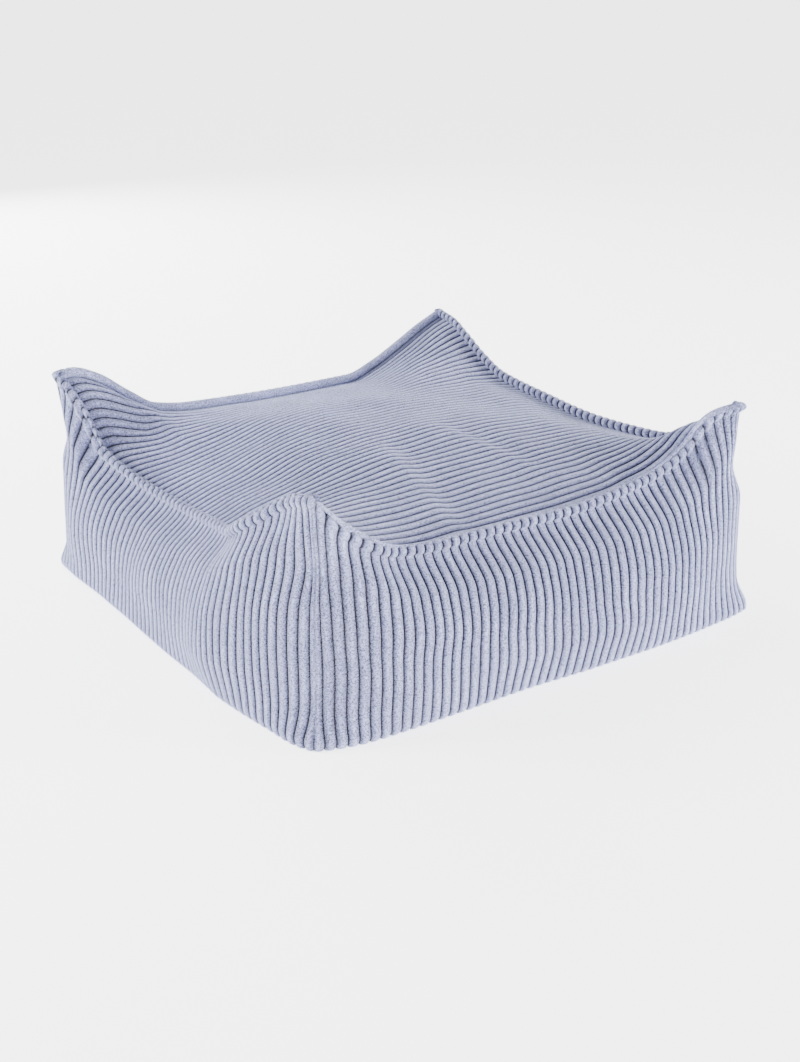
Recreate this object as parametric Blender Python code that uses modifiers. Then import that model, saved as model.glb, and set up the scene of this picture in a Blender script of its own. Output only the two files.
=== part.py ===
"""Square floor pouf in wide-wale corduroy, with four raised corner ears.

Metres, +Z up, resting on z = 0. The front faces -Y. Each side is worked out as
the front one and turned about Z, so u runs from -1 to 1 along a side, seen from
outside left to right, and w from 0 at the floor to 1 at the crest of the lip.
"""

import math
from typing import NamedTuple

import bmesh
import bpy
import numpy as np

COLLECTION = "corduroy_pouf"
WALES = 52
PEAK_OUT = 0.286
CLOTH = 0.003
GAP = 0.0012
WALE_DEPTH = 0.0022
LIP_HEIGHT = 0.013
FLOOR_CLEARANCE = 0.0012
UNDER_ROLL = 0.004
UNDER_ROLL_SHARE = 0.05
ROLL_SHARE = 0.27
ROLL_POWER = 1.2
TOE_SHARE = 0.30
FLARE_START = 0.84
FLARE_SHARE = 0.50
TURN_POWER = 12.0
NO_ZERO = 1e-6
CROWN_HEIGHT = 0.207
CROWN_REACH = 0.85
CROWN_POWER = 1.8
EAR_REACH = 0.5
EAR_POWER = 2.0
EAR_BLEND = 0.01
LIP_INSET = 2 * CLOTH + WALE_DEPTH + 1.8 * GAP
SIDE_CLEARANCE = CLOTH + WALE_DEPTH + 2.6 * GAP
TOP_CLEARANCE = SIDE_CLEARANCE + 0.0035
EAR_CLEARANCE = 0.010
BODY_BASE_INSET = 0.010
BODY_SEAM_DROP = 0.024


class Section(NamedTuple):
    """Section of a side at one place along it.

    The foot, belly and crest say how far out the side stands at the floor, at
    its fullest and at the crest of its lip, and the height is the crest's.
    """

    along: float
    foot: float
    belly: float
    crest: float
    height: float


class Corner(NamedTuple):
    """How far out the corner seam stands, by share of the peak's height."""

    share: float
    out: float


class Lean(NamedTuple):
    """Share of the draw-in that the middle of a side has made at a height."""

    share: float
    drawn: float


class Side(NamedTuple):
    """One side panel and the sizes in which it differs from the others.

    A toe is how much further out than CORNER_SEAM the foot of a corner spreads,
    and a flare is how much further out its ear leans.
    """

    node: str
    quarter_turns: int
    start_toe: float
    end_toe: float
    start_flare: float
    end_flare: float
    sections: tuple


CORNER_SEAM = (
    Corner(0.00, 0.3030),
    Corner(0.16, 0.2915),
    Corner(0.40, 0.2905),
    Corner(0.55, 0.2900),
    Corner(0.72, 0.2810),
    Corner(0.88, 0.2835),
    Corner(1.00, 0.2860),
)

DRAW_IN = (
    Lean(0.00, 0.00),
    Lean(0.33, 0.00),
    Lean(0.50, 0.06),
    Lean(0.62, 0.18),
    Lean(0.73, 0.37),
    Lean(0.81, 0.53),
    Lean(0.88, 0.68),
    Lean(0.94, 0.82),
    Lean(1.00, 1.00),
)

FRONT = Side(
    "side_panel_front",
    0,
    0.004,
    0.004,
    0.009,
    0.002,
    (
        Section(-1.00, 0.320, 0.312, 0.286, 0.257),
        Section(-0.90, 0.323, 0.322, 0.294, 0.221),
        Section(-0.80, 0.325, 0.329, 0.297, 0.200),
        Section(-0.65, 0.325, 0.334, 0.286, 0.181),
        Section(-0.45, 0.324, 0.333, 0.279, 0.173),
        Section(-0.16, 0.322, 0.334, 0.273, 0.171),
        Section(0.15, 0.325, 0.336, 0.270, 0.169),
        Section(0.42, 0.325, 0.335, 0.269, 0.175),
        Section(0.60, 0.323, 0.331, 0.264, 0.181),
        Section(0.79, 0.319, 0.319, 0.264, 0.203),
        Section(0.91, 0.317, 0.312, 0.272, 0.240),
        Section(1.00, 0.314, 0.308, 0.286, 0.251),
    ),
)

RIGHT = Side(
    "side_panel_right",
    1,
    0.004,
    0.000,
    0.002,
    0.001,
    (
        Section(-1.00, 0.314, 0.308, 0.286, 0.251),
        Section(-0.90, 0.314, 0.313, 0.282, 0.230),
        Section(-0.76, 0.315, 0.320, 0.277, 0.201),
        Section(-0.60, 0.316, 0.324, 0.272, 0.192),
        Section(-0.25, 0.316, 0.326, 0.267, 0.189),
        Section(0.10, 0.316, 0.326, 0.266, 0.196),
        Section(0.40, 0.315, 0.324, 0.268, 0.204),
        Section(0.58, 0.314, 0.322, 0.272, 0.220),
        Section(0.72, 0.313, 0.318, 0.275, 0.239),
        Section(0.86, 0.312, 0.314, 0.280, 0.253),
        Section(1.00, 0.312, 0.310, 0.286, 0.256),
    ),
)

BACK = Side(
    "side_panel_back",
    2,
    0.000,
    0.000,
    0.001,
    0.007,
    (
        Section(-1.00, 0.312, 0.310, 0.286, 0.256),
        Section(-0.86, 0.312, 0.314, 0.280, 0.242),
        Section(-0.72, 0.313, 0.318, 0.275, 0.224),
        Section(-0.56, 0.314, 0.321, 0.271, 0.204),
        Section(-0.40, 0.315, 0.323, 0.268, 0.191),
        Section(0.00, 0.315, 0.324, 0.266, 0.190),
        Section(0.45, 0.314, 0.322, 0.269, 0.192),
        Section(0.62, 0.313, 0.320, 0.273, 0.198),
        Section(0.74, 0.312, 0.316, 0.276, 0.218),
        Section(0.88, 0.310, 0.312, 0.281, 0.246),
        Section(0.95, 0.309, 0.310, 0.284, 0.254),
        Section(1.00, 0.309, 0.308, 0.286, 0.251),
    ),
)

LEFT = Side(
    "side_panel_left",
    3,
    0.000,
    0.004,
    0.007,
    0.009,
    (
        Section(-1.00, 0.309, 0.308, 0.286, 0.251),
        Section(-0.92, 0.307, 0.307, 0.280, 0.222),
        Section(-0.80, 0.308, 0.309, 0.270, 0.167),
        Section(-0.63, 0.308, 0.307, 0.265, 0.155),
        Section(-0.45, 0.310, 0.308, 0.262, 0.149),
        Section(-0.30, 0.312, 0.310, 0.262, 0.148),
        Section(-0.10, 0.316, 0.314, 0.266, 0.152),
        Section(0.10, 0.319, 0.322, 0.273, 0.159),
        Section(0.28, 0.320, 0.329, 0.282, 0.167),
        Section(0.43, 0.323, 0.335, 0.292, 0.175),
        Section(0.50, 0.325, 0.336, 0.299, 0.184),
        Section(0.61, 0.324, 0.334, 0.305, 0.201),
        Section(0.71, 0.322, 0.329, 0.301, 0.217),
        Section(0.81, 0.320, 0.324, 0.295, 0.235),
        Section(0.93, 0.321, 0.319, 0.291, 0.252),
        Section(1.00, 0.318, 0.314, 0.286, 0.257),
    ),
)

SIDES = (FRONT, RIGHT, BACK, LEFT)

SIDE_ROWS = (0.0, 0.10, 0.45, 0.72, 0.89, 1.0)
BODY_HALF_ACROSS = (0.15, 0.45, 0.68, 0.82, 0.91)
BODY_ACROSS = (-1.0, *(-x for x in BODY_HALF_ACROSS[::-1]), *BODY_HALF_ACROSS, 1.0)
TOP_COLUMNS = (-1.0, -0.975, *BODY_ACROSS[1:-1], 0.975, 1.0)
BODY_BACKWARD = (-1.0, -0.90, -0.78, -0.60, -0.42, -0.17, 0.12, 0.42, 0.66, 0.80, 0.90, 1.0)
BODY_UP = (0.0, 0.04, 0.08, 0.20, 0.33, 0.45, 0.56, 0.66, 0.77, 0.85, 0.93, 1.0)


def through(rows, at):
    """Smooth curve through a table's first two columns, sampled at `at`."""
    x = np.array([row[0] for row in rows])
    y = np.array([row[1] for row in rows])
    secant = np.diff(y) / np.diff(x)
    before, after = secant[:-1], secant[1:]
    same_way = before * after > 0
    mean = 2 * before * after / np.where(same_way, before + after, 1.0)
    slope = np.concatenate([secant[:1], np.where(same_way, mean, 0.0), secant[-1:]])
    at = np.clip(np.asarray(at, float), x[0], x[-1])
    i = np.clip(np.searchsorted(x, at) - 1, 0, len(x) - 2)
    step = x[i + 1] - x[i]
    t = (at - x[i]) / step
    start = (1 + 2 * t) * (1 - t) ** 2 * y[i] + t * (1 - t) ** 2 * step * slope[i]
    end = t**2 * (3 - 2 * t) * y[i + 1] + t**2 * (t - 1) * step * slope[i + 1]
    return start + end


def lerp(start, end, share):
    """Straight blend from start to end."""
    return start + (end - start) * share


def turned(points, quarter_turns):
    """Points turned about Z by whole quarter turns."""
    x, y, z = np.moveaxis(points, -1, 0)
    for _ in range(quarter_turns % 4):
        x, y = -y, x
    return np.stack([x, y, z], axis=-1)


def rise(value, low, high):
    """Smooth rise from 0 at low to 1 at high."""
    t = np.clip((value - low) / (high - low), 0, 1)
    return t * t * (3 - 2 * t)


def column(side, name, u):
    """One column of a side's sections, read at u."""
    return through([(row.along, getattr(row, name)) for row in side.sections], u)


def flare(side, u):
    """How much further out an ear leans at u."""
    return lerp(side.start_flare, side.end_flare, (u + 1) / 2) * rise(np.abs(u), FLARE_START, 1.0)


def side_surface(side, u, w):
    """Outer surface of a side panel without its wales."""
    u, w = np.broadcast_arrays(np.asarray(u, float), np.asarray(w, float))
    toe = lerp(side.start_toe, side.end_toe, (u + 1) / 2)
    corner = through(CORNER_SEAM, w) + toe * np.clip(1 - w / TOE_SHARE, 0, 1) ** 2
    rolled = np.clip(1 - w / ROLL_SHARE, 0, 1) ** ROLL_POWER
    wall = lerp(column(side, "belly", u), column(side, "foot", u), rolled)
    wall = lerp(wall, column(side, "crest", u), through(DRAW_IN, w))
    tucked = UNDER_ROLL * np.clip(1 - w / UNDER_ROLL_SHARE, 0, 1) ** 2
    leaning = flare(side, u) * rise(w, FLARE_SHARE, 1.0)
    out = lerp(wall, corner, np.abs(u) ** TURN_POWER) - tucked + leaning
    along = u * (corner - tucked) + np.sign(u) * leaning
    height = lerp(FLOOR_CLEARANCE, column(side, "height", u), w)
    return turned(np.stack([along, -out, height], axis=-1), side.quarter_turns)


def edge_weight(distance, seam):
    """Pull of an edge on the crown, one on the edge and none beyond its reach.

    An ear's seam, which stands over the crown, is felt less far than a low one.
    """
    ear = rise(seam - CROWN_HEIGHT, -EAR_BLEND, EAR_BLEND)
    low = np.clip(1 - distance / CROWN_REACH, 0, 1) ** CROWN_POWER
    high = np.clip(1 - distance / EAR_REACH, 0, 1) ** EAR_POWER
    return lerp(low, high, ear)


def top_height(p, q):
    """Height of the top cloth: the crown, drawn down or up to the seam lines."""
    weights = []
    seams = []
    places = ((FRONT, p, 1 + q), (RIGHT, q, 1 - p), (BACK, -p, 1 - q), (LEFT, -q, 1 + p))
    for side, u, distance in places:
        seams.append(column(side, "height", u) - LIP_HEIGHT)
        weights.append(edge_weight(distance, seams[-1]))
    pulls = [weight / (1 - weight + NO_ZERO) for weight in weights]
    seam = sum(a * b for a, b in zip(pulls, seams)) / (sum(pulls) + NO_ZERO)
    free = math.prod(1 - weight for weight in weights)
    return CROWN_HEIGHT * free + seam * (1 - free)


def top_surface(p, q, inset, lift):
    """Top cloth at p across and q from front to back, without its wales.

    `inset` keeps it inside the side cloth, and `lift` raises it from the seam
    line at 0 to the crest of the lip at 1.
    """
    p, q = np.broadcast_arrays(np.asarray(p, float), np.asarray(q, float))
    left, right = column(LEFT, "crest", -q), column(RIGHT, "crest", q)
    front, back = column(FRONT, "crest", p), column(BACK, "crest", -p)
    at_front = lerp(FRONT.start_flare, FRONT.end_flare, (p + 1) / 2)
    at_back = lerp(BACK.end_flare, BACK.start_flare, (p + 1) / 2)
    near_ear = rise(np.abs(p), FLARE_START, 1.0) * rise(np.abs(q), FLARE_START, 1.0)
    leaning = lerp(at_front, at_back, (q + 1) / 2) * near_ear - inset
    x = p * (lerp(left, right, (p + 1) / 2) + leaning)
    y = q * (lerp(front, back, (q + 1) / 2) + leaning)
    z = top_height(p, q) + lift * LIP_HEIGHT
    return np.stack([x, y, z], axis=-1)


def normals_of(surface, u, v, step=1e-3):
    """Unit normals of surface(u, v) by finite differences."""
    across = surface(u + step, v) - surface(u - step, v)
    up = surface(u, v + step) - surface(u, v - step)
    normal = np.cross(across, up)
    return normal / np.linalg.norm(normal, axis=-1, keepdims=True)


def material(name, colour):
    """Plain cloth material."""
    made = bpy.data.materials.new(name)
    made.use_nodes = True
    shader = made.node_tree.nodes["Principled BSDF"]
    shader.inputs["Base Color"].default_value = (*colour, 1.0)
    shader.inputs["Roughness"].default_value = 0.95
    shader.inputs["Metallic"].default_value = 0.0
    return made


def add_object(name, form, finish, collection):
    """Object made from a bmesh, shaded smooth, with one material."""
    data = bpy.data.meshes.new(name)
    form.to_mesh(data)
    form.free()
    data.materials.append(finish)
    data.polygons.foreach_set("use_smooth", [True] * len(data.polygons))
    made = bpy.data.objects.new(name, data)
    collection.objects.link(made)
    return made


def cloth_sheet(name, points, finish, collection):
    """Cloth laid on a grid of outer points and thickened towards the filling."""
    across, along = points.shape[:2]
    form = bmesh.new()
    bmesh.ops.create_grid(form, x_segments=across - 1, y_segments=along - 1, size=1.0)
    for vert in form.verts:
        i = round((vert.co.x + 1) / 2 * (across - 1))
        j = round((vert.co.y + 1) / 2 * (along - 1))
        vert.co = points[i, j]
    made = add_object(name, form, finish, collection)
    shell = made.modifiers.new("cloth", "SOLIDIFY")
    shell.thickness = CLOTH
    shell.offset = -1.0
    return made


def wale_columns():
    """Places across the wales, from -1 to 1, and the relief at each of them."""
    places = np.linspace(-1, 1, 2 * WALES + 1)
    relief = np.where(np.arange(len(places)) % 2 == 1, 0.0, -WALE_DEPTH)
    return places, relief


def seam_set_back(side, w):
    """How far a panel stops short of its corners, so that neighbours stay apart.

    The cloth's thickness leans over the corner's diagonal by the part of its
    normal that points away from the corner.
    """
    front_like = side._replace(quarter_turns=0)
    normal = normals_of(lambda a, b: side_surface(front_like, a, b), np.ones_like(w), w)
    leaning = np.maximum(0, -(normal[..., 0] + normal[..., 1]) / math.sqrt(2))
    return (CLOTH * leaning + 1.2 * GAP) * math.sqrt(2)


def side_panel(side, finish, collection):
    """Side cloth with its wales running from the floor to the crest."""
    places, relief = wale_columns()
    w = np.array(SIDE_ROWS)
    u = places[:, None] * (1 - seam_set_back(side, w) / PEAK_OUT)[None, :]
    w = np.broadcast_to(w[None, :], u.shape)
    normals = normals_of(lambda a, b: side_surface(side, a, b), u, w)
    points = side_surface(side, u, w) + normals * relief[:, None, None]
    return cloth_sheet(side.node, points, finish, collection)


def top_panel(finish, collection):
    """Top cloth with its wales running from left to right."""
    places, relief = wale_columns()
    p = np.array(TOP_COLUMNS)[:, None]
    q = places[None, :]
    on_edge = (np.abs(p) == 1) | (np.abs(q) == 1)
    points = top_surface(p, q, LIP_INSET, np.where(on_edge, 1.0, 0.0))
    normals = normals_of(lambda a, b: top_surface(a, b, LIP_INSET, 0.0), p, q)
    points = points + np.where(on_edge, 0.0, relief[None, :])[..., None] * normals
    return cloth_sheet("top_panel", points, finish, collection)


def facet(surface, levels, at):
    """Point on the straight facet that a coarse grid draws between two levels."""
    upper = min(max(np.searchsorted(levels, at), 1), len(levels) - 1)
    low, high = levels[upper - 1], levels[upper]
    return lerp(surface(low), surface(high), (at - low) / (high - low))


def inside(places, normals, clearances):
    """Point that lies inside every surface that meets at a place by its clearance."""
    move, *_ = np.linalg.lstsq(np.array(normals), -np.array(clearances), rcond=0.35)
    return np.mean(places, axis=0) + move


def foot_out(side, u):
    """How far out a side stands just above the floor."""
    front_like = side._replace(quarter_turns=0)
    return -side_surface(front_like, u, 0.0)[1]


def underside_point(p, q):
    """Where the flat underside of the body lies at p across and q backward."""
    across = lerp(foot_out(LEFT, -q), foot_out(RIGHT, q), (p + 1) / 2)
    backward = lerp(foot_out(FRONT, p), foot_out(BACK, -p), (q + 1) / 2)
    return np.array([p * (across - BODY_BASE_INSET), q * (backward - BODY_BASE_INSET), 0.0])


def body_point(i, j, k):
    """Where a point of the subdivided cube goes on the filled body."""
    last = len(BODY_UP) - 1
    p, q = BODY_ACROSS[i], BODY_BACKWARD[j]
    if k == 0:
        return underside_point(p, q)
    places = []
    normals = []
    clearances = []
    faces = ((FRONT, p, j == 0), (RIGHT, q, i == last), (BACK, -p, j == last), (LEFT, -q, i == 0))
    for side, u, touches in faces:
        if touches:
            w = BODY_UP[k] * (1 - BODY_SEAM_DROP / column(side, "height", u))
            places.append(facet(lambda a, s=side, b=u: side_surface(s, b, a), SIDE_ROWS, w))
            normals.append(normals_of(lambda a, b, s=side: side_surface(s, a, b), u, w))
            clearances.append(SIDE_CLEARANCE + (EAR_CLEARANCE if abs(u) == 1 else 0.0) * BODY_UP[k])
    if k == last:
        places.append(facet(lambda a: top_surface(a, q, LIP_INSET, 0.0), TOP_COLUMNS, p))
        normals.append(normals_of(lambda a, b: top_surface(a, b, LIP_INSET, 0.0), p, q))
        clearances.append(TOP_CLEARANCE)
    return inside(places, normals, clearances)


def filled_body(finish, collection):
    """The filling in its cover, with its crown, ears and flat underside."""
    form = bmesh.new()
    bmesh.ops.create_cube(form, size=2.0)
    cells = len(BODY_UP) - 1
    bmesh.ops.subdivide_edges(form, edges=form.edges[:], cuts=cells - 1, use_grid_fill=True)
    for vert in form.verts:
        vert.co = body_point(*(round((place + 1) / 2 * cells) for place in vert.co))
    return add_object("filled_body", form, finish, collection)


def main():
    """Build every piece of the pouf."""
    for old in list(bpy.data.objects):
        bpy.data.objects.remove(old, do_unlink=True)
    collection = bpy.data.collections.new(COLLECTION)
    bpy.context.scene.collection.children.link(collection)
    corduroy = material("corduroy", (0.48, 0.50, 0.66))
    cover = material("base_cloth", (0.44, 0.46, 0.62))
    for side in SIDES:
        side_panel(side, corduroy, collection)
    top_panel(corduroy, collection)
    filled_body(cover, collection)


if __name__ == "__main__":
    main()
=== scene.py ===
"""Corduroy floor pouf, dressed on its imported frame.

The pouf is a filled body under five panels of wide-wale corduroy. The panels'
edges are sewn up into a standing lip, and their corners into four pointed ears.
Metres, +Z up, the front facing -Y. Along a side u runs from -1 to 1, seen from
outside left to right, and w from 0 at the floor to 1 at the crest of the lip.
On the top p runs from left to right and q from front to back, both -1 to 1.
"""

from __future__ import annotations

import logging
import math
from collections.abc import Callable, Mapping, Sequence
from dataclasses import dataclass, field, replace
from enum import Enum
from typing import Any, NamedTuple

import bmesh
import bpy
import numpy as np
from mathutils import Matrix, Vector

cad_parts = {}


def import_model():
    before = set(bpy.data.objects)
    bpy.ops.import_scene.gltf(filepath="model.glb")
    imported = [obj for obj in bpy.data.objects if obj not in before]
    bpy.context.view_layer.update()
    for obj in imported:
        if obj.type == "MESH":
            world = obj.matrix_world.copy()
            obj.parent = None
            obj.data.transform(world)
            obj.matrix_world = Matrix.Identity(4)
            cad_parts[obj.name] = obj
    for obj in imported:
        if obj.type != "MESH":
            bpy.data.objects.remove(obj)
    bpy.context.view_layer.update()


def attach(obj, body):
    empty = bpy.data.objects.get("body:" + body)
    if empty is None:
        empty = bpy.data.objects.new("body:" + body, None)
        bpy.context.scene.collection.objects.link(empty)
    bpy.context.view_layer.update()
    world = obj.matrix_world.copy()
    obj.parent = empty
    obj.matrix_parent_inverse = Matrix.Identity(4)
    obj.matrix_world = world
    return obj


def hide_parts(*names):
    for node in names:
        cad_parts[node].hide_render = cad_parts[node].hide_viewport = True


log = logging.getLogger("pouf")

Points = np.ndarray
Colour = tuple[float, float, float]


class Section(NamedTuple):
    """Section of a side at one place along it.

    The foot, belly and crest say how far out the side stands at the floor, at
    its fullest and at the crest of its lip, and the height is the crest's.
    """

    along: float
    foot: float
    belly: float
    crest: float
    height: float


class HeightRow(NamedTuple):
    """What holds at a share of the crest's height."""

    share: float
    value: float


class LipRow(NamedTuple):
    """Section of the lip on one cloth, from the pinch over the crest and inside.

    `below` is the depth under the crest and `out` the distance past the middle
    of the lip. The notches say how far a groove sinks there, down and inwards.
    """

    below: float
    out: float
    notch_down: float
    notch_in: float


class FoldRow(NamedTuple):
    """A shallow step in the top cloth, from one point in plan to another."""

    start_x: float
    start_y: float
    end_x: float
    end_y: float
    depth: float


class Grain(NamedTuple):
    """Noise of a finish: its cells in a metre, its finer layers and their strength."""

    scale: float
    detail: float
    rough: float = 0.5


class SideName(Enum):
    """The four sides, counted in quarter turns from the front."""

    FRONT = 0
    RIGHT = 1
    BACK = 2
    LEFT = 3

    @property
    def node(self) -> str:
        """Name of the side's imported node."""
        return f"side_panel_{self.name.lower()}"


# Form of every side: its corners, roll at the floor, toes and ears.
PEAK_OUT = 0.286
TURN_POWER = 12.0
FLOOR_CLEARANCE = 0.0006
UNDER_ROLL = 0.004
UNDER_ROLL_SHARE = 0.05
ROLL_SHARE = 0.27
ROLL_POWER = 1.2
TOE_SHARE = 0.30
FLARE_START = 0.84
FLARE_SHARE = 0.50
NO_ZERO = 1e-6

# How far out the corner seam stands.
CORNER_SEAM = (
    HeightRow(0.00, 0.3030),
    HeightRow(0.16, 0.2915),
    HeightRow(0.40, 0.2905),
    HeightRow(0.55, 0.2900),
    HeightRow(0.72, 0.2810),
    HeightRow(0.88, 0.2835),
    HeightRow(1.00, 0.2860),
)

# Share of its draw-in that a wall has made.
DRAW_IN = (
    HeightRow(0.00, 0.00),
    HeightRow(0.33, 0.00),
    HeightRow(0.50, 0.06),
    HeightRow(0.62, 0.18),
    HeightRow(0.73, 0.37),
    HeightRow(0.81, 0.53),
    HeightRow(0.88, 0.68),
    HeightRow(0.94, 0.82),
    HeightRow(1.00, 1.00),
)

# The standing lip: its section, middle, lean and full neck near the ears.
LIP_SECTION = (
    LipRow(0.0105, 0.0012, 0.0000, 0.0016),
    LipRow(0.0094, 0.0034, 0.0000, 0.0030),
    LipRow(0.0076, 0.0054, 0.0002, 0.0045),
    LipRow(0.0050, 0.0062, 0.0006, 0.0052),
    LipRow(0.0026, 0.0057, 0.0014, 0.0047),
    LipRow(0.0006, 0.0042, 0.0026, 0.0033),
    LipRow(-0.0006, 0.0024, 0.0037, 0.0015),
    LipRow(-0.0010, 0.0007, 0.0040, 0.0002),
    LipRow(0.0004, 0.0001, 0.0034, 0.0000),
    LipRow(0.0050, 0.0001, 0.0010, 0.0000),
)
LIP_HEIGHT = LIP_SECTION[0].below
LIP_MIDDLE = 0.0053
TOP_RIM = LIP_MIDDLE + LIP_SECTION[0].out
LIP_LEAN = 0.6
LIP_FULL = 0.0052
LIP_FULL_BELOW = 0.006
EAR_LAPS = (0.00228, 0.0038)

# Aim of the lights, and places on a fine line.
LIGHT_AIM = (0.0, 0.0, 0.1)
FINE_PLACES = 401

# Powers that keep the slow waves and the slant off the seams.
SIDE_STILL_POWER = 6
TOP_STILL_POWER = 8

# Slow waves of the cloth: their size, usual length and seed.
SIDE_WAVES_ALONG = (0.0015, 0.085, 11)
SIDE_WAVES_OUT = (0.0017, 0.120, 21)
TOP_WAVES_UP = (0.0011, 0.11, 31)
TOP_WAVES_ALONG = (0.0010, 0.09, 32)

# Painted light on the pile at the two ends of its rise, and where it rises: the sides are painted lighter
# towards the right, and the top towards the back and left, but not on its ears.
SIDE_PAINTED_LIGHT = (0.30, 0.60)
SIDE_PAINTED_LIGHT_SPAN = (-0.2, 0.3)
TOP_PAINTED_LIGHT_BACK = 0.85
TOP_PAINTED_LIGHT_LEFT = 0.5
TOP_PAINTED_LIGHT_SPAN = (-0.16, 0.26)
TOP_PAINTED_LIGHT_EAR_SPAN = (0.95, 1.2)

# Spans towards a corner, as a share of half a side.
LEAN_SPAN = (0.80, 1.0)
EAR_LAP_SPAN = (0.88, 0.96)
FILL_SPAN = (0.76, 0.94)
MITRE_SPAN = (0.93, 1.0)
DIAGONAL_SPAN = (0.955, 1.0)
NOTCH_SPAN = (0.975, 0.99)
CORNER_FILL_SPAN = (0.985, 1.0)


def through(rows: Sequence[Sequence[float]], at: Points | float) -> Points:
    """Smooth curve through a table's first two columns.

    Args:
        rows: Table rows, the first column rising.
        at: Places along the first column.

    Returns:
        The second column at those places, with no overshoot between the rows.
    """
    x = np.array([row[0] for row in rows])
    y = np.array([row[1] for row in rows])
    secant = np.diff(y) / np.diff(x)
    before, after = secant[:-1], secant[1:]
    same_way = before * after > 0
    mean = 2 * before * after / np.where(same_way, before + after, 1.0)
    slope = np.concatenate([secant[:1], np.where(same_way, mean, 0.0), secant[-1:]])
    at = np.clip(np.asarray(at, float), x[0], x[-1])
    i = np.clip(np.searchsorted(x, at) - 1, 0, len(x) - 2)
    step = x[i + 1] - x[i]
    t = (at - x[i]) / step
    start = (1 + 2 * t) * (1 - t) ** 2 * y[i] + t * (1 - t) ** 2 * step * slope[i]
    end = t**2 * (3 - 2 * t) * y[i + 1] + t**2 * (t - 1) * step * slope[i + 1]
    return start + end


def smooth_step(value: Points | float, low: float, high: float) -> Points:
    """Rise from 0 at low to 1 at high, level at both ends."""
    t = np.clip((np.asarray(value, float) - low) / (high - low), 0, 1)
    return t * t * (3 - 2 * t)


def lerp(start: Points | float, end: Points | float, share: Points | float) -> Points:
    """Straight blend from start, at a share of 0, to end, at a share of 1."""
    return start + (end - start) * share


def even_places(places: Points, line: Points, shares: Points) -> Points:
    """Places that lie evenly along each of several lines.

    Args:
        places: Fine places of the lines' points, rising.
        line: Points of (places, lines, dimensions).
        shares: Wanted shares of the lines' length, from 0 to 1, the same for every
            line or of (shares, lines).

    Returns:
        Places of (shares, lines).
    """
    steps = np.linalg.norm(np.diff(line, axis=0), axis=-1)
    run = np.concatenate([np.zeros((1, line.shape[1])), np.cumsum(steps, axis=0)])
    shares = np.broadcast_to(shares.reshape(len(shares), -1), (len(shares), line.shape[1]))
    rows = [np.interp(shares[:, i] * run[-1, i], run[:, i], places) for i in range(line.shape[1])]
    return np.stack(rows, axis=1)


def grid_normals(points: Points) -> Points:
    """Unit normals of a grid of (columns, rows, 3), seen from its viewer's side."""
    normal = np.cross(np.gradient(points, axis=0), np.gradient(points, axis=1))
    return normal / (np.linalg.norm(normal, axis=-1, keepdims=True) + NO_ZERO**2)


def crowded(places: Points, share: float) -> Points:
    """Places from -1 to 1, moved towards the two ends by a share."""
    return places * (1 + share - share * places * places)


def added(name: str, data: Any) -> bpy.types.Object:
    """Put a new object in the scene.

    Args:
        name: Its name.
        data: Its mesh, light or camera.

    Returns:
        The object.
    """
    item = bpy.data.objects.new(name, data)
    bpy.context.scene.collection.objects.link(item)
    return item


@dataclass(frozen=True)
class Unevenness:
    """Gentle, repeatable unevenness of cloth, as a sum of a few waves.

    Attributes:
        size: Usual height of the waves, in metres.
        length: Usual wavelength, in metres.
        seed: Seed of the waves' directions and phases.
        waves: How many waves are summed.
        spread: Shortest and longest wave, as shares of the usual one.
    """

    size: float
    length: float
    seed: int
    waves: int = 7
    spread: tuple[float, float] = (0.7, 1.6)

    def turned(self, side: SideName) -> Unevenness:
        """The same kind of waves with a side's own seed."""
        return replace(self, seed=self.seed + side.value)

    def at(self, a: Points, b: Points) -> Points:
        """Unevenness at places on the cloth.

        Args:
            a: First coordinate, in metres.
            b: Second coordinate, in metres.

        Returns:
            Offset in metres, of either sign.
        """
        chance = np.random.default_rng(self.seed)
        total = np.zeros(np.broadcast(a, b).shape)
        for _ in range(self.waves):
            turn, phase = chance.uniform(0, 2 * math.pi, 2)
            rate = 2 * math.pi / (self.length * chance.uniform(*self.spread))
            total += np.sin(rate * (a * math.cos(turn) + b * math.sin(turn)) + phase)
        return self.size * total / math.sqrt(self.waves)


@dataclass(frozen=True)
class Wales:
    """The raised ribs of the corduroy, evenly spaced across a panel.

    Attributes:
        count: Ribs across a panel.
        depth: Height of a rib over its groove, in metres.
        flatness: How flat-topped a rib is, 2 being round.
        steps: Columns of points across one rib, from 0 to 1.
    """

    count: int = 52
    depth: float = 0.0036
    flatness: float = 2.2
    steps: tuple[float, ...] = (0.0, 0.05, 0.14, 0.30, 0.5, 0.70, 0.86, 0.95)

    def places(self) -> Points:
        """Places of the columns across a panel, from -1 to 1."""
        ribs = np.arange(self.count)[:, None] + np.array(self.steps)[None, :]
        return np.append(ribs.ravel(), self.count) * 2 / self.count - 1

    def across(self) -> Points:
        """Each column's distance from its rib's middle, 0 there and 1 in a groove."""
        return np.abs(np.append(np.tile(2 * np.array(self.steps) - 1, self.count), 1.0))

    def crowns(self) -> Points:
        """Height of the rib at each column, 0 in a groove and 1 on top."""
        return (1 - self.across() ** self.flatness) ** (1 / self.flatness)


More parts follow.
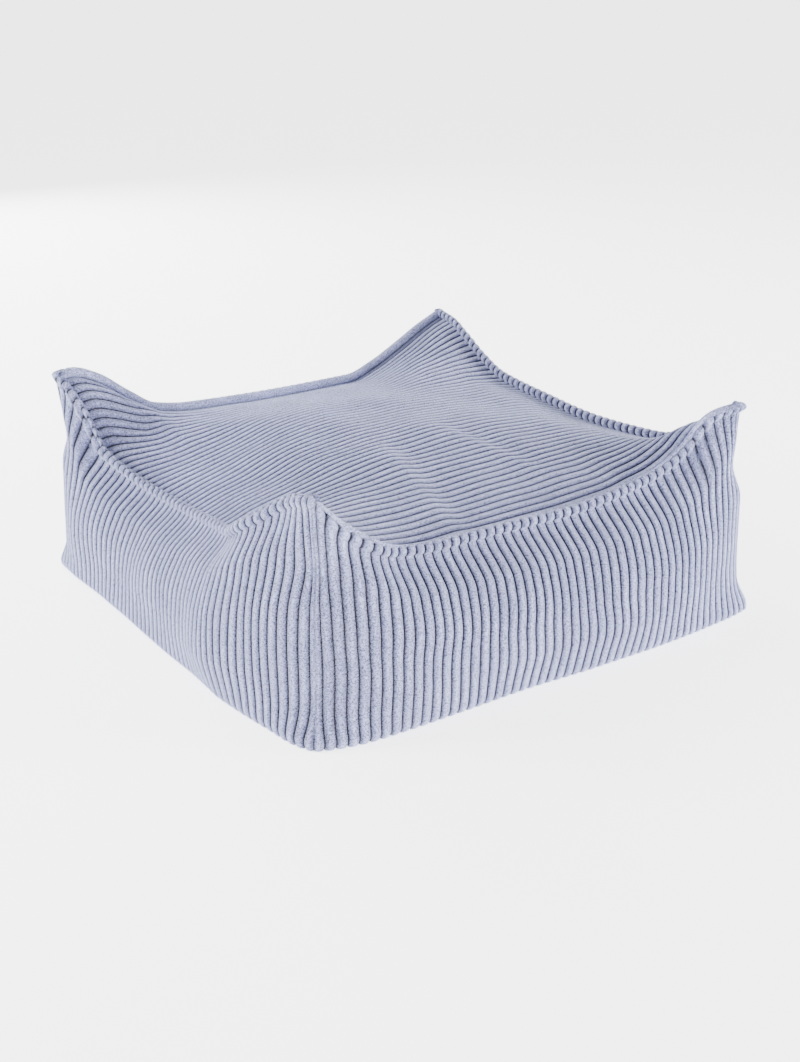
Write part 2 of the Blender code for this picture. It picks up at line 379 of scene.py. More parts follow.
@dataclass(frozen=True)
class SideShape:
    """Shape of one side of the pouf, as the front one before it is turned.

    Attributes:
        name: Which side it is.
        toes: How much further out the foot of its first and last corner spreads.
        flares: How much further out its first and last ear lean.
        sections: Its sections, from its first corner to its last.
    """

    name: SideName
    toes: tuple[float, float]
    flares: tuple[float, float]
    sections: tuple[Section, ...]

    def column(self, name: str, u: Points) -> Points:
        """One named column of the sections, read at u."""
        return through([(row.along, getattr(row, name)) for row in self.sections], u)

    def height_at(self, u: Points) -> Points:
        """Height of the crest at u."""
        return self.column("height", u)

    def crest_distance(self, u: Points) -> Points:
        """Distance of the crest from the centre line at u, without its flare."""
        return self.column("crest", u)

    def flare(self, u: Points) -> Points:
        """How much further out an ear leans at u."""
        ends = lerp(*self.flares, (u + 1) / 2)
        return ends * smooth_step(np.abs(u), FLARE_START, 1.0)

    def lean(self, u: Points) -> Points:
        """Slope of the crest as an angle, eased to none at the peaks.

        Args:
            u: Places along the side.

        Returns:
            Angles in radians.
        """
        step = 0.01
        rise = self.height_at(u + step) - self.height_at(u - step)
        slope = rise / (2 * step * PEAK_OUT)
        return LIP_LEAN * np.arctan(slope * (1 - smooth_step(np.abs(u), *LEAN_SPAN)))

    def seam_height(self, u: Points) -> Points:
        """Height of the stitch line that pinches the lip, at u."""
        return self.height_at(u) - LIP_HEIGHT / np.cos(self.lean(u))

    def surface(self, u: Points, w: Points) -> Points:
        """Smooth outer surface of the side.

        Args:
            u: Places along the side.
            w: Share of the height.

        Returns:
            Points of the side as if it were the front.
        """
        u, w = np.broadcast_arrays(np.asarray(u, float), np.asarray(w, float))
        toe = lerp(*self.toes, (u + 1) / 2)
        corner = through(CORNER_SEAM, w) + toe * np.clip(1 - w / TOE_SHARE, 0, 1) ** 2
        rolled = np.clip(1 - w / ROLL_SHARE, 0, 1) ** ROLL_POWER
        wall = lerp(self.column("belly", u), self.column("foot", u), rolled)
        wall = lerp(wall, self.column("crest", u), through(DRAW_IN, w))
        tucked = UNDER_ROLL * np.clip(1 - w / UNDER_ROLL_SHARE, 0, 1) ** 2
        leaning = self.flare(u) * smooth_step(w, FLARE_SHARE, 1.0)
        out = lerp(wall, corner, np.abs(u) ** TURN_POWER) - tucked + leaning
        along = u * (corner - tucked) + np.sign(u) * leaning
        height = lerp(FLOOR_CLEARANCE, self.height_at(u), w)
        return np.stack([along, -out, height], axis=-1)

    def turned(self, points: Points) -> Points:
        """Points of a front-like side, turned to where this side is.

        Args:
            points: Points of the side as if it were the front.

        Returns:
            The same points in the pouf's frame.
        """
        x, y, z = np.moveaxis(points, -1, 0)
        for _ in range(self.name.value):
            x, y = -y, x
        return np.stack([x, y, z], axis=-1)


FRONT = SideShape(
    name=SideName.FRONT,
    toes=(0.004, 0.004),
    flares=(0.009, 0.002),
    sections=(
        Section(-1.00, 0.320, 0.312, 0.286, 0.257),
        Section(-0.90, 0.323, 0.322, 0.294, 0.221),
        Section(-0.80, 0.325, 0.329, 0.297, 0.200),
        Section(-0.65, 0.325, 0.334, 0.286, 0.181),
        Section(-0.45, 0.324, 0.333, 0.279, 0.173),
        Section(-0.16, 0.322, 0.334, 0.273, 0.171),
        Section(0.15, 0.325, 0.336, 0.270, 0.169),
        Section(0.42, 0.325, 0.335, 0.269, 0.175),
        Section(0.60, 0.323, 0.331, 0.264, 0.181),
        Section(0.79, 0.319, 0.319, 0.264, 0.203),
        Section(0.91, 0.317, 0.312, 0.272, 0.240),
        Section(1.00, 0.314, 0.308, 0.286, 0.251),
    ),
)

RIGHT = SideShape(
    name=SideName.RIGHT,
    toes=(0.004, 0.000),
    flares=(0.002, 0.001),
    sections=(
        Section(-1.00, 0.314, 0.308, 0.286, 0.251),
        Section(-0.90, 0.314, 0.313, 0.282, 0.230),
        Section(-0.76, 0.315, 0.320, 0.277, 0.201),
        Section(-0.60, 0.316, 0.324, 0.272, 0.192),
        Section(-0.25, 0.316, 0.326, 0.267, 0.189),
        Section(0.10, 0.316, 0.326, 0.266, 0.196),
        Section(0.40, 0.315, 0.324, 0.268, 0.204),
        Section(0.58, 0.314, 0.322, 0.272, 0.220),
        Section(0.72, 0.313, 0.318, 0.275, 0.239),
        Section(0.86, 0.312, 0.314, 0.280, 0.253),
        Section(1.00, 0.312, 0.310, 0.286, 0.256),
    ),
)

BACK = SideShape(
    name=SideName.BACK,
    toes=(0.000, 0.000),
    flares=(0.001, 0.007),
    sections=(
        Section(-1.00, 0.312, 0.310, 0.286, 0.256),
        Section(-0.86, 0.312, 0.314, 0.280, 0.242),
        Section(-0.72, 0.313, 0.318, 0.275, 0.224),
        Section(-0.56, 0.314, 0.321, 0.271, 0.204),
        Section(-0.40, 0.315, 0.323, 0.268, 0.191),
        Section(0.00, 0.315, 0.324, 0.266, 0.190),
        Section(0.45, 0.314, 0.322, 0.269, 0.192),
        Section(0.62, 0.313, 0.320, 0.273, 0.198),
        Section(0.74, 0.312, 0.316, 0.276, 0.218),
        Section(0.88, 0.310, 0.312, 0.281, 0.246),
        Section(0.95, 0.309, 0.310, 0.284, 0.254),
        Section(1.00, 0.309, 0.308, 0.286, 0.251),
    ),
)

LEFT = SideShape(
    name=SideName.LEFT,
    toes=(0.000, 0.004),
    flares=(0.007, 0.009),
    sections=(
        Section(-1.00, 0.309, 0.308, 0.286, 0.251),
        Section(-0.92, 0.307, 0.307, 0.280, 0.222),
        Section(-0.80, 0.308, 0.309, 0.270, 0.167),
        Section(-0.63, 0.308, 0.307, 0.265, 0.155),
        Section(-0.45, 0.310, 0.308, 0.262, 0.149),
        Section(-0.30, 0.312, 0.310, 0.262, 0.148),
        Section(-0.10, 0.316, 0.314, 0.266, 0.152),
        Section(0.10, 0.319, 0.322, 0.273, 0.159),
        Section(0.28, 0.320, 0.329, 0.282, 0.167),
        Section(0.43, 0.323, 0.335, 0.292, 0.175),
        Section(0.50, 0.325, 0.336, 0.299, 0.184),
        Section(0.61, 0.324, 0.334, 0.305, 0.201),
        Section(0.71, 0.322, 0.329, 0.301, 0.217),
        Section(0.81, 0.320, 0.324, 0.295, 0.235),
        Section(0.93, 0.321, 0.319, 0.291, 0.252),
        Section(1.00, 0.318, 0.314, 0.286, 0.257),
    ),
)

SIDES = (FRONT, RIGHT, BACK, LEFT)

# How far the ribs slant at the crest, at a side's first and last corner.
RIB_SLANT = {SideName.FRONT: (0.045, 0.070)}

# How much of the pinch under the lip is filled out there.
NECK_FILL = {
    SideName.FRONT: (0.60, 0.20),
    SideName.RIGHT: (0.20, 0.20),
    SideName.BACK: (0.20, 0.60),
    SideName.LEFT: (0.60, 0.60),
}


@dataclass(frozen=True)
class TopShape:
    """Shape of the top: a crown drawn down to the seams and up into the ears.

    Attributes:
        crown_height: Height of the flat middle.
        reach: How far in from an edge its seam still draws the crown, in p or q.
        power: How soon that draw fades.
        ear_reach: The same reach where the seam climbs over the crown.
        ear_power: How soon that pull fades.
        ear_blend: Height over which one pull gives way to the other.
    """

    crown_height: float = 0.207
    reach: float = 0.85
    power: float = 1.8
    ear_reach: float = 0.5
    ear_power: float = 2.0
    ear_blend: float = 0.01

    def edge_weight(self, distance: Points, seam: Points) -> Points:
        """Pull of an edge on the crown.

        Args:
            distance: Distance from the edge, in p or q.
            seam: Height of the edge's seam there.

        Returns:
            One on the edge, and none beyond its reach.
        """
        ear = smooth_step(seam - self.crown_height, -self.ear_blend, self.ear_blend)
        low = np.clip(1 - distance / self.reach, 0, 1) ** self.power
        high = np.clip(1 - distance / self.ear_reach, 0, 1) ** self.ear_power
        return lerp(low, high, ear)

    def height(self, p: Points, q: Points) -> Points:
        """Height of the top cloth.

        Args:
            p: Places from left to right.
            q: Places from front to back.

        Returns:
            Heights in metres.
        """
        weights = []
        seams = []
        places = ((FRONT, p, 1 + q), (RIGHT, q, 1 - p), (BACK, -p, 1 - q), (LEFT, -q, 1 + p))
        for side, u, distance in places:
            seams.append(side.seam_height(u))
            weights.append(self.edge_weight(distance, seams[-1]))
        pulls = [weight / (1 - weight + NO_ZERO) for weight in weights]
        seam = sum(a * b for a, b in zip(pulls, seams)) / (sum(pulls) + NO_ZERO)
        free = math.prod(1 - weight for weight in weights)
        return lerp(seam, self.crown_height, free)

    def surface(self, p: Points, q: Points) -> Points:
        """Smooth top surface inside the stitch line.

        Args:
            p: Places from left to right.
            q: Places from front to back.

        Returns:
            Points of the surface.
        """
        p, q = np.broadcast_arrays(np.asarray(p, float), np.asarray(q, float))
        left, right = LEFT.crest_distance(-q), RIGHT.crest_distance(q)
        front, back = FRONT.crest_distance(p), BACK.crest_distance(-p)
        rightward, backward = (1 + p) / 2, (1 + q) / 2
        ears = lerp(lerp(*FRONT.flares, rightward), lerp(*BACK.flares[::-1], rightward), backward)
        flare = ears * smooth_step(np.abs(p), FLARE_START, 1.0) * smooth_step(np.abs(q), FLARE_START, 1.0)
        x = p * (lerp(left, right, rightward) - TOP_RIM + flare)
        y = q * (lerp(front, back, backward) - TOP_RIM + flare)
        return np.stack([x, y, self.height(p, q)], axis=-1)


@dataclass(frozen=True)
class Value:
    """A shader socket that can be used in Python arithmetic.

    Attributes:
        shader: Tree that the socket belongs to.
        socket: The wrapped socket.
    """

    shader: ShaderTree
    socket: Any

    def maths(self, operation: str, *others: Value | float) -> Value:
        """Result of a Math node on this value and its other inputs, in order."""
        inputs = {i: value for i, value in enumerate((self, *others))}
        return self.shader.add("ShaderNodeMath", {"operation": operation}, inputs)

    def __add__(self, other: Value | float) -> Value:
        """Sum."""
        return self.maths("ADD", other)

    __radd__ = __add__

    def __mul__(self, other: Value | float) -> Value:
        """Product."""
        return self.maths("MULTIPLY", other)

    __rmul__ = __mul__

    def __sub__(self, other: Value | float) -> Value:
        """Difference."""
        return self.maths("SUBTRACT", other)

    def __rsub__(self, other: float) -> Value:
        """Difference from a number."""
        return self * -1.0 + other

    def stepped(self, low: float, high: float) -> Value:
        """Smooth rise from 0 at low to 1 at high."""
        inputs = {"Value": self, "From Min": low, "From Max": high}
        return self.shader.add("ShaderNodeMapRange", {"interpolation_type": "SMOOTHSTEP"}, inputs)

    def lifted(self, base: float, gain: float) -> Value:
        """The value times a gain, over a base."""
        return base + gain * self


@dataclass
class ShaderTree:
    """Builds one material's nodes.

    Attributes:
        name: Name of the material.
    """

    name: str
    material: bpy.types.Material = field(init=False)

    def __post_init__(self) -> None:
        """Make the material with its plain shader."""
        self.material = bpy.data.materials.new(self.name)
        self.material.use_nodes = True

    def add(
        self,
        kind: str,
        settings: Mapping[str, Any] | None = None,
        inputs: Mapping[int | str, Any] | None = None,
        output: int | str = 0,
    ) -> Value:
        """One node.

        Args:
            kind: Blender's name of the node's type.
            settings: Values of the node's own properties, set first.
            inputs: Values or links of its sockets.
            output: Which output to give back.

        Returns:
            The output, ready for arithmetic.
        """
        node = self.material.node_tree.nodes.new(kind)
        for key, setting in (settings or {}).items():
            setattr(node, key, setting)
        self.fill(node, inputs or {})
        return Value(self, node.outputs[output])

    def fill(self, node: Any, inputs: Mapping[int | str, Any]) -> None:
        """Link or set a node's sockets.

        Args:
            node: The node.
            inputs: By socket, a Value to link, or a number, vector or colour to set.
        """
        for key, given in inputs.items():
            socket = node.inputs[key]
            if isinstance(given, Value):
                self.material.node_tree.links.new(given.socket, socket)
            elif isinstance(given, tuple) and socket.type == "RGBA":
                socket.default_value = (*given, 1.0)
            else:
                socket.default_value = given

    def covered(self, inputs: Mapping[int | str, Any]) -> bpy.types.Material:
        """The material, its surface shader's sockets filled."""
        self.fill(self.material.node_tree.nodes["Principled BSDF"], inputs)
        return self.material

    def mix(self, share: Value | float, first: Any, second: Any, blend: str = "MIX") -> Value:
        """Blend of two colours or links, by the share of the second."""
        settings = {"data_type": "RGBA", "blend_type": blend}
        return self.add("ShaderNodeMix", settings, {0: share, 6: first, 7: second}, 2)

    def noise(self, where: Value, grain: Grain) -> Value:
        """Noise from 0 to 1."""
        inputs = {"Scale": grain.scale, "Detail": grain.detail, "Roughness": grain.rough}
        return self.add("ShaderNodeTexNoise", {}, {"Vector": where, **inputs})

    def attribute(self, name: str) -> Value:
        """Number kept on the mesh's points under a name."""
        return self.add("ShaderNodeAttribute", {"attribute_name": name}, {}, "Fac")

    def scaled(self, where: Value, by: tuple[float, float, float]) -> Value:
        """Coordinates multiplied along each axis."""
        return self.add("ShaderNodeVectorMath", {"operation": "MULTIPLY"}, {0: where, 1: by})

    def bump(self, height: Value, distance: float, below: Value | None = None) -> Value:
        """Normal raised by a height.

        Args:
            height: Height from 0 to 1.
            distance: Metres that a height of 1 stands for.
            below: Normal of a coarser bump under this one.

        Returns:
            The normal.
        """
        inputs: dict[int | str, Any] = {"Height": height, "Distance": distance, "Strength": 1.0}
        if below is not None:
            inputs["Normal"] = below
        return self.add("ShaderNodeBump", {}, inputs)


@dataclass(frozen=True)
class CorduroyFinish:
    """Wide-wale cotton corduroy with a short, soft pile.

    Attributes:
        ridge: Colour of the ribs.
        groove: Colour between the ribs: the bare cloth's own darker tone, with painted shade for the shade
            between the ribs.
        pale: Colour of the painted highlight on top of the ribs.
        tufts: Noise of the pile's tufts.
        strands: Noise of its strands.
        strand_shape: Stretch of the strands over the flat cloth.
        patches: Noise of the patches where that painted highlight is stronger.
        tuft_span: Noise between which a tuft rises.
        patch_span: Noise between which a patch's painted highlight grows.
        top_span: Distance from a rib's middle over which its colour turns to the groove's, which is partly
            painted shade.
        highlight_span: The same, over which the painted highlight on its top ends.
        highlight_share: Share of the painted highlight's colour on top, and what a patch adds.
        tuft_shade: Shade between the tufts, and what a tuft adds.
        strand_shade: The same for the strands.
        painted_light_gain: The same for the painted light, darker where its share is low and lighter where
            it is high.
        tuft_rise: Height of the tufts in a groove, and what a rib adds.
        tuft_height: Their full height, in metres.
        strand_height: Height of the strands, in metres.
        roughness: Roughness of the cloth.
        specular: Its plain gloss.
        sheen: Its sheen.
        sheen_roughness: How widely the sheen spreads.
        sheen_tint: Colour of the sheen.
    """

    ridge: Colour = (0.243, 0.258, 0.48)
    groove: Colour = (0.036, 0.033, 0.041)
    pale: Colour = (0.57, 0.60, 0.96)
    tufts: Grain = Grain(620.0, 2.0, 0.7)
    strands: Grain = Grain(1700.0, 2.0, 0.6)
    strand_shape: tuple[float, float, float] = (1.0, 0.35, 1.0)
    patches: Grain = Grain(26.0, 3.0, 0.55)
    tuft_span: tuple[float, float] = (0.34, 0.64)
    patch_span: tuple[float, float] = (0.38, 0.70)
    top_span: tuple[float, float] = (0.60, 0.97)
    highlight_span: tuple[float, float] = (0.05, 0.65)
    highlight_share: tuple[float, float] = (0.30, 0.35)
    tuft_shade: tuple[float, float] = (0.40, 0.98)
    strand_shade: tuple[float, float] = (0.93, 0.12)
    painted_light_gain: tuple[float, float] = (0.88, 0.36)
    tuft_rise: tuple[float, float] = (0.35, 0.65)
    tuft_height: float = 0.00075
    strand_height: float = 0.00035
    roughness: float = 0.92
    specular: float = 0.15
    sheen: float = 0.9
    sheen_roughness: float = 0.38
    sheen_tint: Colour = (0.74, 0.79, 1.0)

    def material(self) -> bpy.types.Material:
        """Make the corduroy.

        Returns:
            Its material.
        """
        tree = ShaderTree("corduroy_pile")
        cloth = tree.add("ShaderNodeUVMap", {"uv_map": "cloth"})
        place = tree.add("ShaderNodeTexCoord", {}, {}, "Object")
        wale, painted_light = tree.attribute("wale"), tree.attribute("painted_light")
        pile = tree.noise(place, self.tufts).stepped(*self.tuft_span)
        strands = tree.noise(tree.scaled(cloth, self.strand_shape), self.strands)
        light_share = tree.noise(place, self.patches).stepped(*self.patch_span)
        on_top = 1.0 - wale.stepped(*self.top_span)
        # Painted highlight: the rib tops are painted paler, more so in random patches.
        rib_top_highlight = 1.0 - wale.stepped(*self.highlight_span)
        # Painted shade: the grooves take the dark groove colour, which stands in for the shade between the
        # ribs.
        colour = tree.mix(on_top, self.groove, self.ridge)
        colour = tree.mix(rib_top_highlight * light_share.lifted(*self.highlight_share), colour, self.pale)
        shade = pile.lifted(*self.tuft_shade)
        # Painted light and shade: whole regions are painted lighter or darker by the mesh's painted-light
        # share.
        shade = shade * strands.lifted(*self.strand_shade) * painted_light.lifted(*self.painted_light_gain)
        grey = tree.add("ShaderNodeCombineColor", {}, {0: shade, 1: shade, 2: shade})
        fine = tree.bump(strands, self.strand_height)
        return tree.covered(
            {
                "Base Color": tree.mix(1.0, colour, grey, "MULTIPLY"),
                "Normal": tree.bump(pile * on_top.lifted(*self.tuft_rise), self.tuft_height, fine),
                "Roughness": self.roughness,
                "Specular IOR Level": self.specular,
                "Sheen Weight": self.sheen,
                "Sheen Roughness": self.sheen_roughness,
                "Sheen Tint": self.sheen_tint,
            }
        )


@dataclass(frozen=True)
class BaseClothFinish:
    """Plain strong cotton of the base, in the pouf's own colour.

    Attributes:
        thread: Colour of the threads.
        gap: Colour between them.
        threads: Threads in a metre.
        slubs: Noise of the threads' thickness.
        thread_span: Weave between which a thread rises from the gap.
        slub_shade: Share of a thin thread, and what a thick one adds.
        height: Height of the threads, in metres.
        roughness: Roughness of the cloth.
        specular: Its plain gloss.
    """

    thread: Colour = (0.24, 0.26, 0.42)
    gap: Colour = (0.09, 0.10, 0.17)
    threads: float = 900.0
    slubs: Grain = Grain(300.0, 3.0)
    thread_span: tuple[float, float] = (0.05, 0.6)
    slub_shade: tuple[float, float] = (0.75, 0.35)
    height: float = 0.0003
    roughness: float = 0.9
    specular: float = 0.2

    def material(self) -> bpy.types.Material:
        """Make the base cloth.

        Returns:
            Its material.
        """
        tree = ShaderTree("base_cloth")
        place = tree.add("ShaderNodeTexCoord", {}, {}, "Object")
        waves = []
        for axis in (0, 1):
            along = tree.add("ShaderNodeSeparateXYZ", {}, {"Vector": place}, axis)
            waves.append((along * (self.threads * math.pi)).maths("SINE").maths("ABSOLUTE"))
        weave = (waves[0] * waves[1]).stepped(*self.thread_span)
        share = weave * tree.noise(place, self.slubs).lifted(*self.slub_shade)
        return tree.covered(
            {
                "Base Color": tree.mix(share, self.gap, self.thread),
                "Normal": tree.bump(share, self.height),
                "Roughness": self.roughness,
                "Specular IOR Level": self.specular,
            }
        )


@dataclass(frozen=True)
class FloorFinish:
    """Pale plain floor.

    Attributes:
        colour: Its colour.
        glow: Light that it gives off itself, as a lit studio sweep does.
        glow_colour: Colour of that light.
        roughness: Its roughness.
        specular: Its plain gloss.
    """

    colour: Colour = (0.93, 0.93, 0.935)
    glow: float = 3.0
    glow_colour: Colour = (1.0, 1.0, 1.0)
    roughness: float = 0.8
    specular: float = 0.1

    def material(self) -> bpy.types.Material:
        """Make the floor's finish.

        Returns:
            Its material.
        """
        return ShaderTree("pale_floor").covered(
            {
                "Base Color": self.colour,
                "Roughness": self.roughness,
                "Specular IOR Level": self.specular,
                "Emission Color": self.glow_colour,
                "Emission Strength": self.glow,
            }
        )


@dataclass
class ClothGrid:
    """Cloth as a grid of points with what its finish reads.

    Attributes:
        points: Points of (columns, rows, 3).
        wale: Distance of each point from its rib's middle, 1 in a groove.
        painted_light: Share of the painted light on the pile, 0 to 1, lighter where it is higher.
        cloth: Place on the flat cloth, in metres, (columns, rows, 2).
    """

    points: Points
    wale: Points
    painted_light: Points
    cloth: Points

    def build(self, name: str, material: bpy.types.Material) -> bpy.types.Object:
        """Make the piece.

        Args:
            name: Name of the piece.
            material: Its finish.

        Returns:
            The new object.
        """
        columns, rows = self.points.shape[:2]
        index = np.arange(columns * rows).reshape(columns, rows)
        corners = (index[:-1, :-1], index[1:, :-1], index[1:, 1:], index[:-1, 1:])
        faces = np.stack(corners, axis=-1).reshape(-1, 4)
        mesh = bpy.data.meshes.new(name)
        mesh.from_pydata(self.points.reshape(-1, 3).tolist(), [], faces.tolist())
        mesh.shade_smooth()
        for title, values in (("wale", self.wale), ("painted_light", self.painted_light)):
            layer = mesh.attributes.new(title, "FLOAT", "POINT")
            layer.data.foreach_set("value", values.astype(np.float32).ravel())
        layer = mesh.uv_layers.new(name="cloth")
        flat = self.cloth.reshape(-1, 2)[faces.ravel()].astype(np.float32)
        layer.data.foreach_set("uv", flat.ravel())
        mesh.materials.append(material)
        return added(name, mesh)


@dataclass
class SidePanel:
    """One side panel of corduroy, from under the floor edge to inside the lip.

    Attributes:
        shape: Shape of the side.
        wales: Its ribs.
        rows: Rows of points between the floor and the stitch line.
        tuck: How far the cloth runs on under the pouf.
        seam_depth: How far the corner seam is sunk.
        corner_fill: How much of a rib's height is left at the corner seam.
        seam_width: Half width of that sunk strip.
        cut_reach: How far from a corner seam its cut is felt, by what it cuts off.
        cut_strip: Least reach of that, as a share of half the side.
        cut_slope: How closely the cut ribs crowd at the seam.
        pinch_start: Share of the wall's height from which it is drawn to the stitches.
        row_crowding: Power by which the rows crowd towards the floor.
        slant_start: Share of the wall's height from which the ribs slant.
        kept_span: Spacing over which a crowded rib comes to its full form, as a
            share of the usual spacing.
        neck_start: Share of the wall's rows from which the ribs grow as low as the lip's.
        under_rows: Rows of cloth under the pouf, as shares of the tuck.
    """

    shape: SideShape
    wales: Wales = field(default_factory=Wales)
    rows: int = 70
    tuck: float = 0.010
    seam_depth: float = 0.0019
    corner_fill: float = 0.55
    seam_width: float = 0.0038
    cut_reach: float = 0.80
    cut_strip: float = 0.012
    cut_slope: float = 0.30
    pinch_start: float = 0.80
    row_crowding: float = 1.15
    slant_start: float = 0.42
    kept_span: tuple[float, float] = (0.16, 0.42)
    neck_start: float = 0.96
    under_rows: tuple[float, ...] = (1.0, 0.45)

    def outward(self, u: Points) -> Points:
        """Level direction away from the lip's middle at u, mitred at the corners."""
        mitre = np.sign(u) * smooth_step(np.abs(u), *MITRE_SPAN)
        return np.stack([mitre, -np.ones_like(u), np.zeros_like(u)], axis=-1)

    def pinch_share(self, u: Points) -> Points:
        """Share of the crest's height at which the stitch line lies."""
        return self.shape.seam_height(u) / self.shape.height_at(u)

    def columns(self, u: Points) -> tuple[Points, Points]:
        """Where each column runs up the wall.

        The ribs keep their distance, so where the side is narrower than at its
        widest, its corner seams cut into the outermost ones.

        Args:
            u: Places of the columns at the widest row.

        Returns:
            Shares of the wall's height for the rows, and places of (columns, rows).
        """
        t = np.linspace(0, 1, self.rows) ** self.row_crowding
        fine = np.linspace(-1, 1, FINE_PLACES)
        plan = self.shape.surface(fine[:, None], t[None, :] * self.pinch_share(fine)[:, None])
        length = np.linalg.norm(np.diff(plan[..., :2], axis=0), axis=-1).sum(axis=0)
        widest = length.max() / length
        start = 1 - self.cut_reach * (widest - 1) - self.cut_strip
        run = (widest - start)[None, :]
        slant = lerp(*RIB_SLANT.get(self.shape.name, (0.0, 0.0)), (u + 1) / 2)
        slant = slant * (1 - np.abs(u) ** SIDE_STILL_POWER)
        slanted = u[:, None] + slant[:, None] * smooth_step(t, self.slant_start, 1.0)[None, :]
        along = np.abs(slanted) * widest[None, :] - start[None, :]
        share = np.clip(along / run, 0, 1)
        end = (1 - start)[None, :]
        bent = share * (1 - share) ** 2 * run + share**2 * (3 - 2 * share) * end
        bent = bent - share**2 * (1 - share) * self.cut_slope * end
        placed = np.where(along > 0, start[None, :] + bent, np.abs(slanted) * widest[None, :])
        return t, even_places(fine, plan[..., :2], (np.sign(slanted) * placed + 1) / 2)

    def filled(self, u: Points) -> Points:
        """How much of the pinch under the lip is filled out at u, near the ears."""
        ends = np.where(u < 0, *NECK_FILL[self.shape.name])
        return ends * smooth_step(np.abs(u), *FILL_SPAN)

    def wall(self, u: Points) -> tuple[Points, Points]:
        """Smooth cloth from the floor to the stitch line.

        Args:
            u: Places of the columns.

        Returns:
            Points of (columns, rows, 3), the side taken as the front, and the
            columns' places in each row.
        """
        t, wide = self.columns(u)
        share = t[None, :] * self.pinch_share(wide)
        points = self.shape.surface(wide, share)
        neck = LIP_FULL - LIP_SECTION[0].out
        first = LIP_SECTION[0].out - LIP_MIDDLE + neck * self.filled(wide[:, -1])
        pinch = self.crest_line(wide[:, -1]) + first[:, None] * self.outward(wide[:, -1])
        pinch[:, 2] = self.shape.seam_height(wide[:, -1])
        draw = smooth_step(t, self.pinch_start, 1.0)[None, :, None]
        return points + draw * (pinch - points[:, -1])[:, None, :], wide

    def kept(self, wide: Points) -> Points:
        """Share of a rib's form that is kept where a seam cuts it.

        Args:
            wide: Places of the columns in each row, of (columns, rows).

        Returns:
            One where the ribs have their full width, less where they crowd.
        """
        spacing = np.gradient(wide, self.wales.places(), axis=0)
        usual = np.median(spacing, axis=0)[None, :]
        return smooth_step(spacing / usual, *self.kept_span)

    def crest_line(self, u: Points) -> Points:
        """Outer face of the lip at its crest.

        Args:
            u: Places along the side.

        Returns:
            Points of the side as if it were the front.
        """
        flare = self.shape.flare(u)
        along = u * PEAK_OUT + np.sign(u) * flare
        out = self.shape.crest_distance(u) + flare
        return np.stack([along, -out, self.shape.height_at(u)], axis=-1)

    def lip(self, u: Points, crown: Points) -> Points:
        """Cloth from just over the stitch line, over the crest and inside it.

        Args:
            u: Places of the columns.
            crown: Height of the rib at each column.

        Returns:
            Points of (columns, rows, 3).
        """
        foot = self.crest_line(u)
        foot[:, 2] = self.shape.seam_height(u)
        filled = self.filled(u)
        lean = self.shape.lean(u)
        upward = np.stack([-np.sin(lean), np.zeros_like(u), np.cos(lean)], axis=-1)
        groove = ((1 - crown) * (1 - smooth_step(np.abs(u), *NOTCH_SPAN)))[:, None]
        rows = []
        for row in LIP_SECTION[1:]:
            rise = LIP_HEIGHT - row.below - row.notch_down * groove
            neck = max(LIP_FULL - row.out, 0) if row.below > LIP_FULL_BELOW else 0
            out = row.out - row.notch_in * groove - LIP_MIDDLE + (neck * filled)[:, None]
            rows.append(foot + rise * upward + out * self.outward(u))
        return np.stack(rows, axis=1)

    def uneven(self, points: Points, u: Points) -> Points:
        """Slow waves in the wall, none at its seams.

        Args:
            points: Wall of (columns, rows, 3).
            u: Places of the columns.

        Returns:
            The wall with its waves.
        """
        along, height = points[..., 0], points[..., 2]
        along_waves = Unevenness(*SIDE_WAVES_ALONG).turned(self.shape.name)
        out_waves = Unevenness(*SIDE_WAVES_OUT).turned(self.shape.name)
        rise = np.sin(np.linspace(0, math.pi, self.rows))
        free = (1 - np.abs(u) ** SIDE_STILL_POWER)[:, None] * rise[None, :]
        waved = points.copy()
        waved[..., 0] += free * along_waves.at(along, height)
        waved[..., 1] += free * out_waves.at(along, height)
        return waved

    def grid(self) -> ClothGrid:
        """Whole cloth with its ribs.

        Returns:
            The cloth in its place.
        """
        u, crown = self.wales.places(), self.wales.crowns()
        wall, wide = self.wall(u)
        lip_u, kept = wide[:, -1], self.kept(wide)
        wall = self.uneven(wall, u)
        smooth = np.concatenate([wall, self.lip(lip_u, np.ones_like(u))], axis=1)
        level = grid_normals(smooth)[:, : self.rows]
        corner = smooth_step(np.abs(u), *DIAGONAL_SPAN)[:, None, None]
        crown = np.maximum(crown, self.corner_fill * smooth_step(np.abs(u), *CORNER_FILL_SPAN))
        diagonal = np.stack([np.sign(u), -np.ones_like(u), 0 * u], axis=-1) / math.sqrt(2)
        normal = lerp(level, diagonal[:, None, :], corner)
        normal = normal / np.linalg.norm(normal, axis=-1, keepdims=True)
        at_pinch = smooth_step(np.linspace(0, 1, self.rows), self.neck_start, 1.0)
        depth = lerp(self.wales.depth, LIP_SECTION[0].notch_in, at_pinch)
        sunk = (1 - crown)[:, None] * depth[None, :] * kept
        from_corner = (1 - np.abs(u)) * PEAK_OUT
        sunk = sunk + self.seam_depth * np.exp(-((from_corner / self.seam_width) ** 2))[:, None]
        wall = wall - normal * sunk[..., None]
        wall[..., 2] = np.maximum(wall[..., 2], FLOOR_CLEARANCE)
        under = self.under(wall[:, 0])
        lip = self.lip(lip_u, 1 - (1 - self.wales.crowns()) * kept[:, -1])
        points = np.concatenate([under, wall, lip], axis=1)
        rows = np.clip(np.arange(points.shape[1]) - under.shape[1], 0, self.rows - 1)
        wale = self.wales.across()[:, None] * kept[:, rows]
        span = np.linalg.norm(np.diff(points, axis=1), axis=-1)
        length = np.concatenate([np.zeros((len(u), 1)), np.cumsum(span, axis=1)], axis=1)
